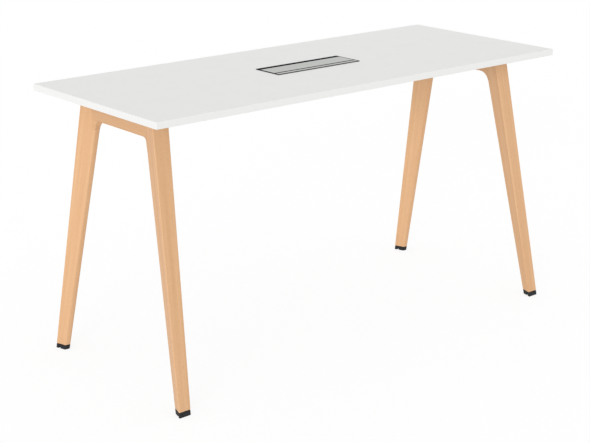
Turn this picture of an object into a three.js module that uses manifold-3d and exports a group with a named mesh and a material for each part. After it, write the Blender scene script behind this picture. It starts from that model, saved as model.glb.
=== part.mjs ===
// Standing meeting table: a white board on two splayed beech end frames, with a cable box in the top.
// Millimetres, +Z up, +X along the length, -Y the front; the origin is on the floor under the middle.
import * as THREE from 'three';
import { mergeVertices } from 'three/addons/utils/BufferGeometryUtils.js';
import Module from 'manifold-3d';

const wasm = await Module();
wasm.setup();

// Table top
const tableHeight = 1075;
const topLength = 2000;
const topDepth = 800;
const topThickness = 25;
const edgeBand = 2;

// End frames: legs and rails are wide on the outside and narrow to a nose on the inside
const frameInsetAtTop = 132.5;
const frameInsetAtFloor = 68;
const legInsetAtTop = 174;
const legOverhangAtFloor = 22;
const legDepthAtTop = 87;
const legDepthAtFloor = 46.5;
const legWidthAtTop = 69.5;
const legWidthAtFloor = 50.5;
const noseWidth = 22;
const railDepth = 91;
const cornerRadiusInside = 45;
const cornerRadiusOutside = 20;
const outerEdgeEase = 2;
const noseEdgeEase = 3.5;

// Leg to rail joint: a glued vertical face with two dowels
const jointInset = 40;
const dowelRadius = 5;
const dowelLength = 60;
const dowelDrops = { upper: 30, lower: 65 };

// Feet
const footHeight = 20;
const footSlotWidth = 10;
const footSlotHeight = 9;
const footSlotShare = 0.38;

// Steel beams under the top, with a flat tongue at each end that is let into the rail
const beamHeight = 50;
const beamWidth = 25;
const beamWall = 2;
const beamEndGap = 1;
const beamToTrayGap = 4;
const tongueThickness = 5.5;
const tongueDrop = 1.5;
const tongueWeld = 0.5;
const tongueInBeam = 60;
const tonguePastCentre = 22;

// Screws: radius of the shank and the head, height of the head, length of the point; places and lengths
const topScrew = { shank: 2, head: 4.5, headHeight: 2.5, point: 4 };
const trayScrew = { shank: 1.75, head: 3.5, headHeight: 2.2, point: 3 };
const footScrew = { shank: 2, head: 3.4, headHeight: 2.4, point: 4 };
const tongueScrew = { shank: 2.5, head: 5, headHeight: 3, point: 4 };
const topScrewFromBeamEnd = 150;
const topScrewPastTray = 80;
const topScrewCover = 9;
const trayScrewFromEnd = 70;
const trayScrewBite = 12;
const footScrewBite = 30;
const tongueScrewLength = 35;
const tongueScrewSpacing = 28;
const driverHoleRadius = 6;

// Cable box: black rim with a low lip, and flush in it a hinged lid, a strip in front, a slot behind
const rimLength = 420;
const rimDepth = 141;
const rimFlange = 2.5;
const rimCorner = 3;
const flangeOverlap = 8.5;
const skirtWall = 2.5;
const skirtShort = 3;
const shelfThickness = 6.5;
const shelfPastHinge = 6;
const plateThickness = 1.2;
const plateInset = 5.5;
const stripDepth = 17.3;
const lidDepth = 89.2;
const lidLip = 4;
const hingeBarrelRadius = 2.5;
const hingeGap = 4.5;
const hingeCap = 0.4;
const lidLap = 1;
const hingeLugLength = 18;
const hingePinRadius = 1;
const hingePinLength = 20;

// Cable tray under the cut-out
const trayWall = 1.5;
const trayDepth = 80;
const trayFlange = 16;
const trayMargin = 2;
const trayCorner = 4;
const grommetBore = 13;
const grommetSeat = 17;
const grommetLip = 21;
const grommetLipWidth = 3.5;
const grommetDrop = 45;

// Clearances
const fitGap = 0.3;
const endGap = 0.5;

// Facets
const roundSides = 10;
const grommetSides = 20;
const fanSteps = 4;
const blockCornerSteps = 2;

// Derived heights and lines
const undersideZ = tableHeight - topThickness;
const railBottomZ = undersideZ - railDepth;

const between = (atFloor, atTop) => (z) => atFloor + (atTop - atFloor) * (z / undersideZ);
const legCentre = between(topLength / 2 - frameInsetAtFloor, topLength / 2 - frameInsetAtTop);
const legOuter = between(topDepth / 2 + legOverhangAtFloor, topDepth / 2 - legInsetAtTop);
const legDepth = between(legDepthAtFloor, legDepthAtTop);
const legWidth = between(legWidthAtFloor, legWidthAtTop);
const legInner = (z) => legOuter(z) - legDepth(z);

// Materials
function finish(color, roughness, metalness) {
  return new THREE.MeshStandardMaterial({ color, roughness, metalness });
}

const whiteLaminate = finish(0xf2f2f0, 0.45, 0);
const whiteEdge = finish(0xf4f4f2, 0.4, 0);
const beech = finish(0xe0b083, 0.5, 0);
const dowelBeech = finish(0xd2a679, 0.7, 0);
const blackNylon = finish(0x2c2c2e, 0.6, 0);
const blackPlastic = finish(0x232325, 0.55, 0);
const blackRubber = finish(0x1d1d1d, 0.85, 0);
const aluminium = finish(0xbec0bc, 0.35, 0.9);
const greyPaint = finish(0xb9bcbe, 0.5, 0.4);
const zincSteel = finish(0xb4b6b8, 0.35, 0.9);

// Joining and cutting
function solidOf(geometry) {
  const bare = geometry.clone();
  bare.deleteAttribute('normal');
  bare.deleteAttribute('uv');
  const merged = mergeVertices(bare);
  const vertProperties = new Float32Array(merged.attributes.position.array);
  const triVerts = new Uint32Array(merged.index.array);
  return new wasm.Manifold(new wasm.Mesh({ numProp: 3, vertProperties, triVerts }));
}

function geometryOf(solid) {
  const mesh = solid.getMesh();
  const geometry = new THREE.BufferGeometry();
  geometry.setAttribute('position', new THREE.BufferAttribute(new Float32Array(mesh.vertProperties), 3));
  geometry.setIndex(new THREE.BufferAttribute(new Uint32Array(mesh.triVerts), 1));
  geometry.computeVertexNormals();
  return geometry;
}

function join(...geometries) {
  return geometries.map(solidOf).reduce((all, next) => all.add(next));
}

function cut(solid, ...geometries) {
  return geometries.map(solidOf).reduce((left, next) => left.subtract(next), solid);
}

// Basic shapes
function boxBetween(low, high) {
  const size = high.map((value, axis) => value - low[axis]);
  const middle = high.map((value, axis) => value - size[axis] / 2);
  return new THREE.BoxGeometry(...size).translate(...middle);
}

function rodAlongX(radius, [x, y, z], length, sides = roundSides) {
  const rod = new THREE.CylinderGeometry(radius, radius, length, sides).rotateZ(-Math.PI / 2);
  return rod.translate(x + length / 2, y, z);
}

function rodAlongY(radius, [x, y, z], length) {
  const rod = new THREE.CylinderGeometry(radius, radius, length, roundSides);
  return rod.translate(x, y + length / 2, z);
}

function rodAlongZ(radius, [x, y, z], length) {
  const rod = new THREE.CylinderGeometry(radius, radius, length, roundSides).rotateX(Math.PI / 2);
  return rod.translate(x, y, z + length / 2);
}

// Upright block over a rectangle centred on the Z axis, with round corners
function roundedBlock(length, depth, corner, bottomZ, topZ) {
  const [x, y] = [length / 2, depth / 2];
  const outline = new THREE.Shape();
  outline.absarc(x - corner, y - corner, corner, 0, Math.PI / 2);
  outline.absarc(corner - x, y - corner, corner, Math.PI / 2, Math.PI);
  outline.absarc(corner - x, corner - y, corner, Math.PI, 1.5 * Math.PI);
  outline.absarc(x - corner, corner - y, corner, 1.5 * Math.PI, 2 * Math.PI);
  const options = { depth: topZ - bottomZ, bevelEnabled: false, curveSegments: blockCornerSteps };
  return new THREE.ExtrudeGeometry(outline, options).translate(0, 0, bottomZ);
}

// Closed skin over matching convex outlines that run counter-clockwise round the path
function loft(outlines) {
  const sides = outlines[0].length;
  const index = [];
  for (let ring = 0; ring < outlines.length - 1; ring += 1) {
    for (let side = 0; side < sides; side += 1) {
      const near = ring * sides + side;
      const nearNext = ring * sides + (side + 1) % sides;
      index.push(near, nearNext, nearNext + sides);
      index.push(near, nearNext + sides, near + sides);
    }
  }
  const last = (outlines.length - 1) * sides;
  for (let side = 1; side < sides - 1; side += 1) {
    index.push(0, side + 1, side);
    index.push(last, last + side, last + side + 1);
  }
  const geometry = new THREE.BufferGeometry().setFromPoints(outlines.flat());
  geometry.setIndex(index);
  geometry.computeVertexNormals();
  return geometry;
}

// Outline with each corner eased by a small chamfer of its own length
function eased(corners, eases) {
  return corners.flatMap((corner, place) => {
    const before = corners[(place + corners.length - 1) % corners.length];
    const after = corners[(place + 1) % corners.length];
    const towards = (other) => corner.clone().add(other.clone().sub(corner).setLength(eases[place]));
    return [towards(before), towards(after)];
  });
}

// Shape turned about the Z axis from a profile of radius and height
function turned(profile, sides = roundSides) {
  const points = profile.map(([radius, height]) => new THREE.Vector2(radius, height));
  return new THREE.LatheGeometry(points, sides).rotateX(Math.PI / 2);
}

// Screws that stand on the Z axis, with the seat of the head at zero and the point up
function panScrew({ shank, head, headHeight, point }, length) {
  return turned([
    [0, -headHeight], [head, -headHeight], [head, 0], [shank, 0], [shank, length - point], [0, length]]);
}

function sunkScrew({ shank, head, headHeight, point }, length) {
  return turned([[0, 0], [head, 0], [shank, headHeight], [shank, length - point], [0, length]]);
}

const table = new THREE.Group();

function place(parent, name, shape, material) {
  const geometry = shape instanceof THREE.BufferGeometry ? shape : geometryOf(shape);
  const mesh = new THREE.Mesh(geometry, material);
  mesh.name = name;
  parent.add(mesh);
}

// Sizes of the cable box, the tray and the beams that other pieces also use
const cutLength = rimLength - 2 * flangeOverlap - 2 * endGap;
const cutDepth = rimDepth - 2 * flangeOverlap - 2 * endGap;
const skirtLength = cutLength - 2 * endGap;
const skirtDepth = cutDepth - 2 * endGap;
const trayLength = cutLength + 2 * trayMargin;
const trayWidth = cutDepth + 2 * trayMargin;
const trayOuterLength = trayLength + 2 * trayWall;
const trayOuterWidth = trayWidth + 2 * trayWall;
const trayFlangeLength = trayOuterLength + 2 * trayFlange;
const trayFlangeWidth = trayOuterWidth + 2 * trayFlange;
const railInnerX = legCentre(undersideZ) - legWidthAtTop / 2;
const beamEndX = railInnerX - beamEndGap;
const beamY = trayFlangeWidth / 2 + beamToTrayGap + beamWidth / 2;

// Table top: laminated board with the cable box cut-out and the screw holes in its underside
const bothSides = [-1, 1];
const topScrewBite = topThickness - topScrewCover;
const outerScrewX = beamEndX - topScrewFromBeamEnd;
const innerScrewX = trayFlangeLength / 2 + topScrewPastTray;
const topScrewPlaces = [-outerScrewX, -innerScrewX, innerScrewX, outerScrewX];
const topScrewSpots = bothSides.flatMap((side) => topScrewPlaces.map((x) => [x, side * beamY]));
const trayScrewX = trayFlangeLength / 2 - trayScrewFromEnd;
const trayScrewY = (trayFlangeWidth - trayFlange) / 2;
const trayScrewSpots = bothSides.flatMap((side) => bothSides.map((end) => [
  end * trayScrewX, side * trayScrewY]));

function boardHole([x, y], screw, bite) {
  return rodAlongZ(screw.shank + fitGap, [x, y, undersideZ - endGap], bite + 2 * endGap);
}

const boardX = topLength / 2 - edgeBand;
const boardY = topDepth / 2 - edgeBand;
const blankBoard = boxBetween([-boardX, -boardY, undersideZ], [boardX, boardY, tableHeight]);
const cutOut = roundedBlock(cutLength, cutDepth, rimCorner, undersideZ - endGap, tableHeight + endGap);
const board = cut(
  solidOf(blankBoard), cutOut,
  ...topScrewSpots.map((spot) => boardHole(spot, topScrew, topScrewBite)),
  ...trayScrewSpots.map((spot) => boardHole(spot, trayScrew, trayScrewBite)));
place(table, 'top_board', board, whiteLaminate);

// Edge bands: the end bands run the full depth and the long bands lie between them
function edgeStrip(lengthX, depthY) {
  return boxBetween([-lengthX / 2, -depthY / 2, undersideZ], [lengthX / 2, depthY / 2, tableHeight]);
}

for (const side of bothSides) {
  const longBand = edgeStrip(2 * boardX, edgeBand);
  longBand.translate(0, side * (boardY + edgeBand / 2), 0);
  place(table, `edge_band_${side < 0 ? 'front' : 'back'}`, longBand, whiteEdge);
  const endBand = edgeStrip(edgeBand, topDepth);
  endBand.translate(side * (boardX + edgeBand / 2), 0, 0);
  place(table, `edge_band_${side < 0 ? 'left' : 'right'}`, endBand, whiteEdge);
}

// End frame section: outer edge, then nose on the outside and the inside, at the front (-1) or back (+1)
const frameEases = [outerEdgeEase, outerEdgeEase, noseEdgeEase, noseEdgeEase];

function sectionPoints([outerY, outerZ], noseOutside, noseInside, side) {
  const outerHalf = legWidth(outerZ) / 2;
  const noseHalf = noseWidth / 2;
  const point = (half, [y, z]) => new THREE.Vector3(legCentre(z) + half, side * y, z);
  const corners = [
    point(-outerHalf, [outerY, outerZ]), point(outerHalf, [outerY, outerZ]),
    point(noseHalf, noseOutside), point(-noseHalf, noseInside)];
  return eased(corners, frameEases);
}

function levelSection(z, side) {
  return sectionPoints([legOuter(z), z], [legInner(z), z], [legInner(z), z], side);
}

// Round inner corner, tighter on the outside: its arcs, and the section that fans out from it at an angle
const innerLean = Math.atan((legInner(0) - legInner(undersideZ)) / undersideZ);
const outerLean = (legOuter(0) - legOuter(undersideZ)) / undersideZ;

function arcCentre(radius) {
  return [legInner(railBottomZ) - radius * Math.tan((Math.PI / 2 - innerLean) / 2), railBottomZ - radius];
}

function onArc(radius, angle) {
  const [y, z] = arcCentre(radius);
  return [y + radius * Math.cos(angle), z + radius * Math.sin(angle)];
}

const [fanY, fanZ] = arcCentre(cornerRadiusInside);

function fanSection(angle, side) {
  const [along, up] = [Math.cos(angle), Math.sin(angle)];
  const reachToLegFace = (legOuter(fanZ) - fanY) / (along + outerLean * up);
  const reachToTop = (undersideZ - fanZ) / up;
  const topReached = reachToTop <= reachToLegFace;
  const reach = topReached ? reachToTop : reachToLegFace;
  return sectionPoints(
    [fanY + reach * along, topReached ? undersideZ : fanZ + reach * up],
    onArc(cornerRadiusOutside, angle), onArc(cornerRadiusInside, angle), side);
}

// Angles of the fan: from the leg, through the outer corner, to the rail
const outerCornerAngle = Math.atan2(undersideZ - fanZ, legOuter(undersideZ) - fanY);
const atRail = Math.PI / 2;
const fanShares = Array.from({ length: fanSteps }, (_, step) => step / fanSteps);
const spread = (from, to) => fanShares.map((share) => from + (to - from) * share);
const fanAngles = [...spread(innerLean, outerCornerAngle), ...spread(outerCornerAngle, atRail), atRail];

function halfFrame(side) {
  return [levelSection(footHeight, side), ...fanAngles.map((angle) => fanSection(angle, side))];
}

function frameBlank() {
  return loft([...halfFrame(-1), ...halfFrame(1).reverse()]);
}

// The blank is parted at the joints: the rail keeps the round corners, down to a small shoulder
const jointY = legInner(undersideZ) + jointInset;
const shoulderZ = onArc(cornerRadiusInside, innerLean)[1];
const frameReach = topLength / 2;

function railRegion(gap) {
  const low = [0, -jointY - gap, shoulderZ - gap];
  return boxBetween(low, [frameReach, jointY + gap, tableHeight]);
}

function halfRegion(side) {
  const inner = Math.min(0, side * topDepth);
  return boxBetween([0, inner, 0], [frameReach, inner + topDepth, tableHeight]);
}

function dowelAt(side, drop, gap) {
  const z = undersideZ - drop;
  const length = dowelLength + 2 * gap;
  return rodAlongY(dowelRadius + gap, [legCentre(z), side * jointY - length / 2, z], length);
}

// Tongues of the beams: where they lie, and the screws that hold them down in the rail
const tongueTopZ = undersideZ - tongueDrop;
const tongueBottomZ = tongueTopZ - tongueThickness;
const tongueEndX = legCentre(undersideZ) + tonguePastCentre;
const tongueWidth = beamWidth - 2 * beamWall + 2 * tongueWeld;
const tongueScrewX = bothSides.map((end) => legCentre(undersideZ) + end * tongueScrewSpacing / 2);

function tongueHousing(side) {
  const halfWidth = tongueWidth / 2 + fitGap;
  const low = [railInnerX - endGap, side * beamY - halfWidth, tongueBottomZ - fitGap];
  return boxBetween(low, [tongueEndX + fitGap, side * beamY + halfWidth, tableHeight]);
}

function tongueScrewHole(x, side) {
  const bottomZ = tongueTopZ - tongueScrewLength - endGap;
  return rodAlongZ(tongueScrew.shank + fitGap, [x, side * beamY, bottomZ], tableHeight - bottomZ);
}

// Feet: they carry on the leg's section to the floor, with a slot across that hides the screw
const slotY = legOuter(0) - footSlotShare * legDepthAtFloor;
const footScrewX = legCentre(footSlotHeight);
const footScrewLength = footHeight - footSlotHeight + footScrewBite;

function footScrewHole(side) {
  const length = footSlotHeight + footScrewLength + endGap;
  return rodAlongZ(footScrew.shank + fitGap, [footScrewX, side * slotY, 0], length);
}

function footShape(side) {
  const outlines = [levelSection(0, side), levelSection(footHeight, side)];
  const block = loft(side < 0 ? outlines : outlines.map((outline) => outline.reverse()));
  const slotReach = frameReach + legWidthAtFloor;
  const slot = boxBetween([0, -footSlotWidth / 2, -endGap], [slotReach, footSlotWidth / 2, footSlotHeight]);
  slot.translate(0, side * slotY, 0);
  return cut(solidOf(block), slot, footScrewHole(side));
}

// One end frame, modelled at the right-hand end; half a turn takes it to the left-hand end
function buildFrame(end) {
  const frame = new THREE.Group();
  frame.rotation.z = end === 'right' ? 0 : Math.PI;
  const blank = solidOf(frameBlank());
  const dowelHoles = bothSides.flatMap((side) => Object.values(dowelDrops)
    .map((drop) => dowelAt(side, drop, fitGap)));
  const tongueCuts = bothSides.flatMap((side) => [
    tongueHousing(side), ...tongueScrewX.map((x) => tongueScrewHole(x, side))]);
  const rail = cut(blank.intersect(solidOf(railRegion(0))), ...dowelHoles, ...tongueCuts);
  place(frame, `rail_${end}`, rail, beech);
  const legPair = cut(blank, railRegion(fitGap), ...dowelHoles);
  for (const side of bothSides) {
    const atFront = (side < 0) === (end === 'right');
    const corner = `${atFront ? 'front' : 'back'}_${end}`;
    const leg = cut(legPair.intersect(solidOf(halfRegion(side))), footScrewHole(side));
    place(frame, `leg_${corner}`, leg, beech);
    for (const [level, drop] of Object.entries(dowelDrops)) {
      place(frame, `dowel_${corner}_${level}`, dowelAt(side, drop, 0), dowelBeech);
    }
    place(frame, `foot_${corner}`, footShape(side), blackNylon);
    const screw = panScrew(footScrew, footScrewLength);
    screw.translate(footScrewX, side * slotY, footSlotHeight - fitGap);
    place(frame, `foot_screw_${corner}`, screw, zincSteel);
  }
  table.add(frame);
}

buildFrame('left');
buildFrame('right');

// Beams: rectangular tube with a welded tongue at each end and holes for the screws
function beamTube(side) {
  const halfWidth = beamWidth / 2;
  const middleY = side * beamY;
  const bottomZ = undersideZ - beamHeight;
  const outside = boxBetween(
    [-beamEndX, middleY - halfWidth, bottomZ], [beamEndX, middleY + halfWidth, undersideZ]);
  const inside = boxBetween(
    [-frameReach, middleY - halfWidth + beamWall, bottomZ + beamWall],
    [frameReach, middleY + halfWidth - beamWall, undersideZ - beamWall]);
  const driverHoles = topScrewPlaces.map((x) => rodAlongZ(
    driverHoleRadius, [x, middleY, bottomZ - endGap], beamWall + 2 * endGap));
  const screwHoles = topScrewPlaces.map((x) => rodAlongZ(
    topScrew.shank + fitGap, [x, middleY, undersideZ - beamWall - endGap], beamWall + 2 * endGap));
  return cut(solidOf(outside), inside, ...driverHoles, ...screwHoles);
}

function beamTongue(side, end) {
  const middleX = (beamEndX - tongueInBeam + tongueEndX) / 2;
  const halfLength = (tongueEndX - beamEndX + tongueInBeam) / 2;
  const plate = boxBetween(
    [-halfLength, -tongueWidth / 2, tongueBottomZ], [halfLength, tongueWidth / 2, tongueTopZ]);
  plate.translate(end * middleX, side * beamY, 0);
  const boreRadius = tongueScrew.shank + fitGap;
  const sinkRadius = tongueScrew.head + 2 * fitGap;
  const boreBottom = -tongueThickness - endGap;
  const holes = tongueScrewX.map((x) => turned([
    [0, boreBottom], [boreRadius, boreBottom], [boreRadius, -tongueScrew.headHeight - fitGap],
    [sinkRadius, 0], [sinkRadius, endGap], [0, endGap]]).translate(end * x, side * beamY, tongueTopZ));
  return cut(solidOf(plate), ...holes);
}

for (const side of bothSides) {
  const row = side < 0 ? 'front' : 'back';
  const beam = bothSides.reduce((all, end) => all.add(beamTongue(side, end)), beamTube(side));
  place(table, `beam_${row}`, beam, greyPaint);
  topScrewPlaces.forEach((x, number) => {
    const screw = panScrew(topScrew, beamWall + fitGap + topScrewBite);
    screw.translate(x, side * beamY, undersideZ - beamWall - fitGap);
    place(table, `top_screw_${row}_${number + 1}`, screw, zincSteel);
  });
  for (const end of bothSides) {
    ['inner', 'outer'].forEach((spot, number) => {
      const screw = sunkScrew(tongueScrew, tongueScrewLength).rotateX(Math.PI);
      screw.translate(end * tongueScrewX[number], side * beamY, tongueTopZ);
      place(table, `tongue_screw_${row}_${end < 0 ? 'left' : 'right'}_${spot}`, screw, zincSteel);
    });
  }
}

// Cable box rim: flange with a lip, skirt down into the cut-out, ledge and shelf that carry the plates
const rimTopZ = tableHeight + rimFlange;
const plateTopZ = rimTopZ;
const plateBottomZ = plateTopZ - plateThickness;
const ledgeZ = plateBottomZ - fitGap;
const plateX = rimLength / 2 - plateInset;
const stripFrontY = plateInset - rimDepth / 2;
const stripBackY = stripFrontY + stripDepth;
const hingeY = stripBackY + hingeGap + hingeBarrelRadius;
const hingeZ = plateTopZ - hingeBarrelRadius;
const barrelX = plateX - hingeLugLength;
const pinFromX = barrelX + endGap / 2 - hingePinLength / 2;
const lidBackY = hingeY + lidDepth;
const wellLength = skirtLength - 2 * skirtWall;
const wellDepth = skirtDepth - 2 * skirtWall;

function hingeRod(radius, fromX, length) {
  return rodAlongX(radius, [fromX, hingeY, hingeZ], length);
}

const pinHoles = bothSides.map((end) => {
  const length = hingePinLength + 2 * fitGap;
  const fromX = pinFromX - fitGap;
  return hingeRod(hingePinRadius + fitGap, end > 0 ? fromX : -fromX - length, length);
});

const rimSkirtZ = undersideZ + skirtShort;
const overRimZ = rimTopZ + endGap;
const recessX = plateX + endGap;
const recessY = rimDepth / 2 - plateInset + endGap;
const rimFrame = cut(
  join(
    roundedBlock(rimLength, rimDepth, rimCorner, tableHeight, rimTopZ),
    roundedBlock(skirtLength, skirtDepth, rimCorner, rimSkirtZ, tableHeight)),
  boxBetween([-wellLength / 2, -wellDepth / 2, undersideZ], [wellLength / 2, wellDepth / 2, overRimZ]),
  boxBetween([-recessX, -recessY, ledgeZ], [recessX, recessY, overRimZ]));
const rimShelf = boxBetween(
  [-wellLength / 2 - endGap, -wellDepth / 2 - endGap, ledgeZ - shelfThickness],
  [wellLength / 2 + endGap, hingeY + shelfPastHinge, ledgeZ]);
const aboveTable = boxBetween([-plateX, -rimDepth / 2, tableHeight], [plateX, rimDepth / 2, plateTopZ]);
const hingeLugs = bothSides.map((end) => {
  const fromX = barrelX + endGap;
  const lug = hingeRod(hingeBarrelRadius, end > 0 ? fromX : -plateX, plateX - fromX);
  return solidOf(lug).intersect(solidOf(aboveTable));
});
const trough = hingeRod(hingeBarrelRadius + fitGap, -barrelX - endGap, 2 * (barrelX + endGap));
const rim = cut(
  hingeLugs.reduce((all, lug) => all.add(lug), cut(rimFrame.add(solidOf(rimShelf)), trough)),
  ...pinHoles);
place(table, 'cable_box_rim', rim, blackPlastic);

// Strip, hinge profile and lid: the profile's cap laps over the lid's front edge
const strip = boxBetween([-plateX, stripFrontY, plateBottomZ], [plateX, stripBackY, plateTopZ]);
place(table, 'cable_box_strip', strip, aluminium);

const lidFrontY = hingeY + hingeBarrelRadius + endGap;
const capBottomZ = plateTopZ - hingeCap;
const hinge = cut(
  join(
    hingeRod(hingeBarrelRadius, -barrelX, 2 * barrelX),
    boxBetween([-barrelX, hingeY, plateBottomZ], [barrelX, lidFrontY - fitGap, plateTopZ])),
  boxBetween([-plateX, lidFrontY - lidLap - fitGap, plateBottomZ - fitGap], [plateX, lidFrontY, capBottomZ]),
  ...pinHoles);
place(table, 'cable_box_hinge', hinge, blackPlastic);

const lid = join(
  boxBetween([-plateX, lidFrontY, plateBottomZ], [plateX, lidBackY, plateTopZ]),
  boxBetween(
    [-barrelX, lidFrontY - lidLap, plateBottomZ], [barrelX, lidFrontY + endGap, capBottomZ - fitGap]),
  boxBetween(
    [-barrelX, lidBackY - plateThickness, plateBottomZ - lidLip], [barrelX, lidBackY, plateTopZ]));
place(table, 'cable_box_lid', lid, aluminium);

for (const end of bothSides) {
  const pin = hingeRod(hingePinRadius, end > 0 ? pinFromX : -pinFromX - hingePinLength, hingePinLength);
  place(table, `hinge_pin_${end < 0 ? 'left' : 'right'}`, pin, zincSteel);
}

// Cable tray: folded sheet with a flange against the underside and a grommet in each end wall
const trayBottomZ = undersideZ - trayDepth;
const grommetZ = undersideZ - grommetDrop;
const trayShell = join(
  roundedBlock(trayOuterLength, trayOuterWidth, trayCorner, trayBottomZ, undersideZ),
  roundedBlock(trayFlangeLength, trayFlangeWidth, trayCorner, undersideZ - trayWall, undersideZ));
const tray = cut(
  trayShell,
  roundedBlock(trayLength, trayWidth, trayCorner - trayWall, trayBottomZ + trayWall, tableHeight),
  rodAlongX(grommetSeat + fitGap, [-trayOuterLength, 0, grommetZ], 2 * trayOuterLength, grommetSides),
  ...trayScrewSpots.map(([x, y]) => rodAlongZ(
    trayScrew.shank + fitGap, [x, y, undersideZ - trayWall - endGap], trayWall + 2 * endGap)));
place(table, 'cable_tray', tray, greyPaint);

function grommetShape() {
  const lipFrom = trayWall / 2 + fitGap;
  const lipTo = lipFrom + grommetLipWidth;
  const profile = [
    [grommetBore, -lipTo], [grommetLip, -lipTo], [grommetLip, -lipFrom], [grommetSeat, -lipFrom],
    [grommetSeat, lipFrom], [grommetLip, lipFrom], [grommetLip, lipTo], [grommetBore, lipTo],
    [grommetBore, -lipTo]];
  return turned(profile, grommetSides).rotateY(Math.PI / 2);
}

for (const end of bothSides) {
  const grommet = grommetShape().translate(end * (trayLength + trayWall) / 2, 0, grommetZ);
  place(table, `cable_grommet_${end < 0 ? 'left' : 'right'}`, grommet, blackRubber);
}

for (const [x, y] of trayScrewSpots) {
  const screw = panScrew(trayScrew, trayWall + fitGap + trayScrewBite);
  screw.translate(x, y, undersideZ - trayWall - fitGap);
  place(table, `tray_screw_${y < 0 ? 'front' : 'back'}_${x < 0 ? 'left' : 'right'}`, screw, zincSteel);
}

export default table;
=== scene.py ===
"""Standing meeting table: a white board on two splayed beech end frames, with a lidded cable box in the top.

Metres, +Z up, +X along the length and -Y the front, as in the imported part.
"""

import math

import bmesh
import bpy
from mathutils import Matrix, Quaternion, Vector


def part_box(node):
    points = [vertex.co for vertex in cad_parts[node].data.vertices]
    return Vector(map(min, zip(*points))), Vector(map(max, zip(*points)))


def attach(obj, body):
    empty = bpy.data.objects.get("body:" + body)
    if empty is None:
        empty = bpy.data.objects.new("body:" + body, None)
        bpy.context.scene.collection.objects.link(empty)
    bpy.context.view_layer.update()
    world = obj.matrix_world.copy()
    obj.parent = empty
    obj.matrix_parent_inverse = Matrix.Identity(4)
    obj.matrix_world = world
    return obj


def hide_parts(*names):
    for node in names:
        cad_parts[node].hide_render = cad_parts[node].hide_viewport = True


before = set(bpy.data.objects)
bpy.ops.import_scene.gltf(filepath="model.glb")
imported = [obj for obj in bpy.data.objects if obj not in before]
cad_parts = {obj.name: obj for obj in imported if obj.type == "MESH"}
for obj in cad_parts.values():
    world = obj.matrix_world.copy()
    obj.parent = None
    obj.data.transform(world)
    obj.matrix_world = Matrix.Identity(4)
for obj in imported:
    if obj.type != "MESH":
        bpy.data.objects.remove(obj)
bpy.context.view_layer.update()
scene = bpy.context.scene

# Camera
# Stands in front of the table's left end, a little above the top, as in the photograph. Its place and lens
# follow from the corners of the top and the feet in the 590 by 443 picture.
camera_place = Vector((-3.4752, -4.0560, 2.1413))
camera_aim = Vector((-0.0618, 0.0106, 0.4395))
camera_roll = Quaternion((0, 0, 1), math.radians(-0.085))
lens = bpy.data.cameras.new("camera")
lens.lens = 83.86
lens.sensor_width = 36.0
camera = bpy.data.objects.new("camera", lens)
camera.location = camera_place
camera.rotation_euler = ((camera_aim - camera_place).to_track_quat("-Z", "Y") @ camera_roll).to_euler()
scene.collection.objects.link(camera)
scene.camera = camera

# Legs
# Four legs of solid beech, sawn to a taper and moulded so that the outside is wide and the inside narrows to
# a rounded nose. Each splays out to the floor, and is dowelled and glued to the end of a rail.
mm = 0.001
sides = {"front": -1, "back": 1}
ends = {"left": -1, "right": 1}
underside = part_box("top_board")[0].z
foot_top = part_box("foot_front_right")[1].z
centre_x = (932 * mm, 867.5 * mm)
outer_y = (422 * mm, 226 * mm)
inner_y = (375.5 * mm, 139 * mm)
leg_width = (50.5 * mm, 69.5 * mm)
nose_width = 22 * mm
rail_depth = 91 * mm
corner_radius = 45 * mm
outside_corner_radius = 20 * mm
corner_steps = 12
leg_steps = 16
joint_y = 179 * mm
joint_gap = 0.3 * mm
outer_edge_run = 3.3 * mm
nose_edge_run = 4.6 * mm
joint_chamfer = 0.4 * mm
floor_chamfer = 0.8 * mm
blank_half = 1.0
hair = 0.01 * mm
sharp_turn = math.radians(25)
shading_turn = math.radians(35)


def at_height(size, z):
    """A size of the end frame that goes evenly from its value at the floor to that under the top."""
    at_floor, at_top = size
    return at_floor + (at_top - at_floor) * z / underside


rail_bottom = underside - rail_depth
inner_lean = math.atan2(inner_y[0] - inner_y[1], underside)
outer_slope = (outer_y[0] - outer_y[1]) / underside
corner_run = corner_radius * math.tan((math.pi / 2 - inner_lean) / 2)
curve_y = at_height(inner_y, rail_bottom) - corner_run
curve_z = rail_bottom - corner_radius
shoulder_z = curve_z + corner_radius * math.sin(inner_lean)


def frame_half_width(y, z):
    """Half the thickness of an end frame at a spot in its side view, from the nose to the outside."""
    y = abs(y)
    turn = math.atan2(z - curve_z, y - curve_y)
    if y <= curve_y:
        outer_z, share = underside, (z - rail_bottom) / rail_depth
    elif turn <= inner_lean:
        depth = at_height(outer_y, z) - at_height(inner_y, z)
        outer_z, share = z, (y - at_height(inner_y, z)) / depth
    else:
        slope_reach = math.cos(turn) + outer_slope * math.sin(turn)
        to_leg_face = (at_height(outer_y, curve_z) - curve_y) / slope_reach
        reach = min(to_leg_face, (underside - curve_z) / math.sin(turn))
        outer_z = curve_z + reach * math.sin(turn)
        share = (math.hypot(y - curve_y, z - curve_z) - corner_radius) / (reach - corner_radius)
    return nose_width / 2 + (at_height(leg_width, outer_z) - nose_width) / 2 * share


def cut_across(shape, point, normal, **clear):
    """Cuts a whole shape along a plane and gives back the new edges."""
    everything = shape.verts[:] + shape.edges[:] + shape.faces[:]
    cut = bmesh.ops.bisect_plane(
        shape, geom=everything, dist=hair, plane_co=point, plane_no=normal, **clear)
    return [part for part in cut["geom_cut"] if isinstance(part, bmesh.types.BMEdge)]


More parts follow.
